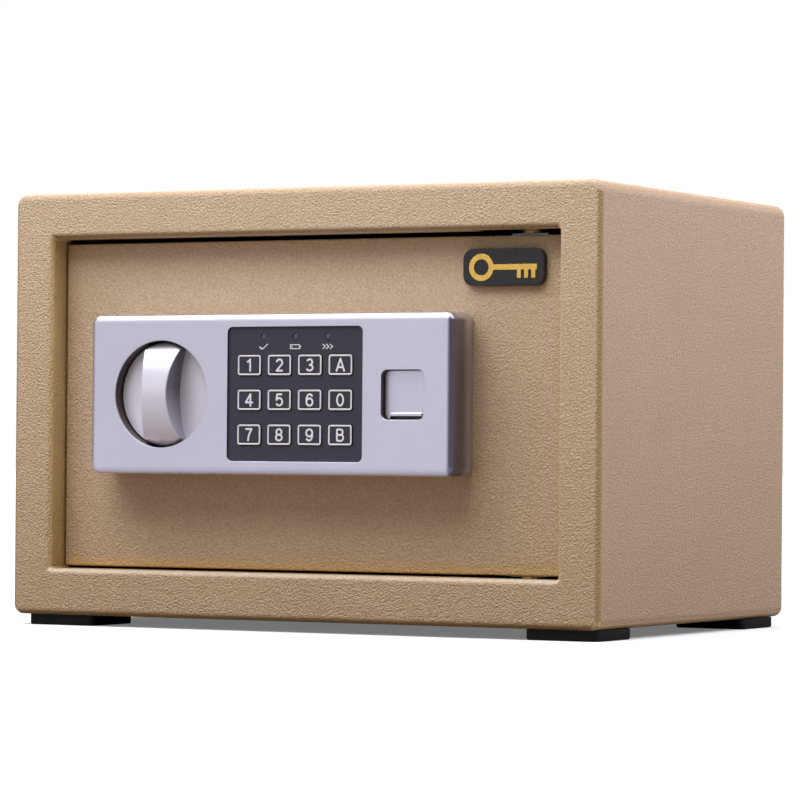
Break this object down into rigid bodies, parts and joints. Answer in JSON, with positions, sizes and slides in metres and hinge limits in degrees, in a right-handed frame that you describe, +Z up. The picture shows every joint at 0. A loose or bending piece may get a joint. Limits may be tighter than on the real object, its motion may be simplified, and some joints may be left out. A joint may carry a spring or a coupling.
{
  "type": "in-room safe",
  "caption": "Compact hotel safe with a recessed hinged door, keypad and knob panel, sliding lock bolts driven by the knob, emergency key lock and felt-lined interior.",
  "frame": {"origin": "centre of the footprint at floor level, midway between the knob's crown and the rear flange", "axes": "+X to the right seen from the front, +Y from the door towards the rear, +Z up"},
  "size_m": [0.31, 0.2245, 0.205],
  "materials": {
    "body_paint": "textured powder coat",
    "bright_steel": "polished, nickel plated",
    "zinc_steel": "zinc plated sheet and turned steel",
    "brass": "turned, satin",
    "panel_silver": "silver painted, satin",
    "fascia_slate": "satin slate",
    "key_slate": "satin slate",
    "silicone": "translucent grey",
    "board_green": "solder mask",
    "lamp_lens": "clear diffused",
    "foot_rubber": "matt",
    "felt": "needle felt",
    "badge_black": "lacquered",
    "badge_gold": "gilt, polished",
    "coil_tape": "wound copper under tape",
    "black_plastic": "fine grain",
    "cell_jacket": "printed foil",
    "red_plastic": "glossy",
    "cable_jacket": "vinyl"
  },
  "bodies": {
    "cabinet": {"body_shell": "body_paint", "rear_panel": "body_paint", "bolt_keeper": "body_paint", "hinge_bracket_top": "zinc_steel", "hinge_bracket_bottom": "zinc_steel", "floor_mat": "felt", "rubber_feet": "foot_rubber"},
    "door": {"door_plate": "body_paint", "lock_chassis": "body_paint", "back_cover": "body_paint", "cover_screws": "bright_steel", "hinge_leaf_top": "zinc_steel", "hinge_leaf_bottom": "zinc_steel", "hinge_pins": "bright_steel", "hinge_washers": "brass", "panel_housing": "panel_silver", "keypad_fascia": "fascia_slate", "keypad_mat": "silicone", "control_board": "board_green", "board_screws": "zinc_steel", "indicator_leds": "lamp_lens", "panel_screws": "zinc_steel", "badge_plate": "badge_black", "badge_emblem": "badge_gold", "spindle_bush": "brass", "guide_studs": "zinc_steel", "solenoid_yoke": "zinc_steel", "solenoid_coil": "coil_tape", "plunger_spring": "zinc_steel", "key_cylinder": "brass", "cylinder_nut": "zinc_steel", "battery_holder": "black_plastic", "battery_cells": "cell_jacket", "battery_contacts": "zinc_steel", "reset_switch": "black_plastic", "wire_harness": "cable_jacket"},
    "knob_shaft": {"knob": "panel_silver", "spindle": "zinc_steel", "spindle_clip": "zinc_steel", "crank": "zinc_steel"},
    "bolt_carriage": {"bolt_carrier": "zinc_steel", "lock_bolts": "bright_steel"},
    "plunger_core": {"plunger": "zinc_steel"},
    "key_barrel": {"key_plug": "brass", "key_cam": "zinc_steel"},
    "key_cap": {"key_cover": "panel_silver"},
    "battery_lid": {"battery_cover": "black_plastic"},
    "reset_cap": {"reset_button": "red_plastic"},
    "key_1_cap": {"key_1": "key_slate"},
    "key_2_cap": {"key_2": "key_slate"},
    "key_3_cap": {"key_3": "key_slate"},
    "key_a_cap": {"key_a": "key_slate"},
    "key_4_cap": {"key_4": "key_slate"},
    "key_5_cap": {"key_5": "key_slate"},
    "key_6_cap": {"key_6": "key_slate"},
    "key_0_cap": {"key_0": "key_slate"},
    "key_7_cap": {"key_7": "key_slate"},
    "key_8_cap": {"key_8": "key_slate"},
    "key_9_cap": {"key_9": "key_slate"},
    "key_b_cap": {"key_b": "key_slate"}
  },
  "joints": [
    {"name": "door_swing", "type": "hinge", "parent": "cabinet", "child": "door", "pos_m": [0.112, -0.07775, 0.105], "axis": [0, 0, 1], "range_deg": [0, 100]},
    {"name": "knob_turn", "type": "hinge", "parent": "door", "child": "knob_shaft", "pos_m": [-0.0678, -0.09975, 0.1096], "axis": [0, -1, 0], "range_deg": [0, 90.05]},
    {"name": "bolt_throw", "type": "slide", "parent": "door", "child": "bolt_carriage", "axis": [-1, 0, 0], "range_m": [0, 0.018]},
    {"name": "plunger_travel", "type": "slide", "parent": "door", "child": "plunger_core", "axis": [0, 0, 1], "range_m": [-0.005, 0], "deforming": ["plunger_spring"]},
    {"name": "key_turn", "type": "hinge", "parent": "door", "child": "key_barrel", "pos_m": [0.06, -0.07775, 0.1093], "axis": [0, 1, 0], "range_deg": [0, 90]},
    {"name": "key_cover_pull", "type": "slide", "parent": "door", "child": "key_cap", "axis": [0, -1, 0], "range_m": [0, 0.02]},
    {"name": "battery_lid_slide", "type": "slide", "parent": "door", "child": "battery_lid", "axis": [1, 0, 0], "range_m": [0, 0.054]},
    {"name": "reset_press", "type": "slide", "parent": "door", "child": "reset_cap", "axis": [0, -1, 0], "range_m": [0, 0.002]},
    {"name": "key_1_press", "type": "slide", "parent": "door", "child": "key_1_cap", "axis": [0, 1, 0], "range_m": [0, 0.0007]},
    {"name": "key_2_press", "type": "slide", "parent": "door", "child": "key_2_cap", "axis": [0, 1, 0], "range_m": [0, 0.0007]},
    {"name": "key_3_press", "type": "slide", "parent": "door", "child": "key_3_cap", "axis": [0, 1, 0], "range_m": [0, 0.0007]},
    {"name": "key_a_press", "type": "slide", "parent": "door", "child": "key_a_cap", "axis": [0, 1, 0], "range_m": [0, 0.0007]},
    {"name": "key_4_press", "type": "slide", "parent": "door", "child": "key_4_cap", "axis": [0, 1, 0], "range_m": [0, 0.0007]},
    {"name": "key_5_press", "type": "slide", "parent": "door", "child": "key_5_cap", "axis": [0, 1, 0], "range_m": [0, 0.0007]},
    {"name": "key_6_press", "type": "slide", "parent": "door", "child": "key_6_cap", "axis": [0, 1, 0], "range_m": [0, 0.0007]},
    {"name": "key_0_press", "type": "slide", "parent": "door", "child": "key_0_cap", "axis": [0, 1, 0], "range_m": [0, 0.0007]},
    {"name": "key_7_press", "type": "slide", "parent": "door", "child": "key_7_cap", "axis": [0, 1, 0], "range_m": [0, 0.0007]},
    {"name": "key_8_press", "type": "slide", "parent": "door", "child": "key_8_cap", "axis": [0, 1, 0], "range_m": [0, 0.0007]},
    {"name": "key_9_press", "type": "slide", "parent": "door", "child": "key_9_cap", "axis": [0, 1, 0], "range_m": [0, 0.0007]},
    {"name": "key_b_press", "type": "slide", "parent": "door", "child": "key_b_cap", "axis": [0, 1, 0], "range_m": [0, 0.0007]}
  ],
  "couplings": [
    {"joint": "knob_turn", "follows": "bolt_throw", "rad_per_m": 87.266}
  ]
}
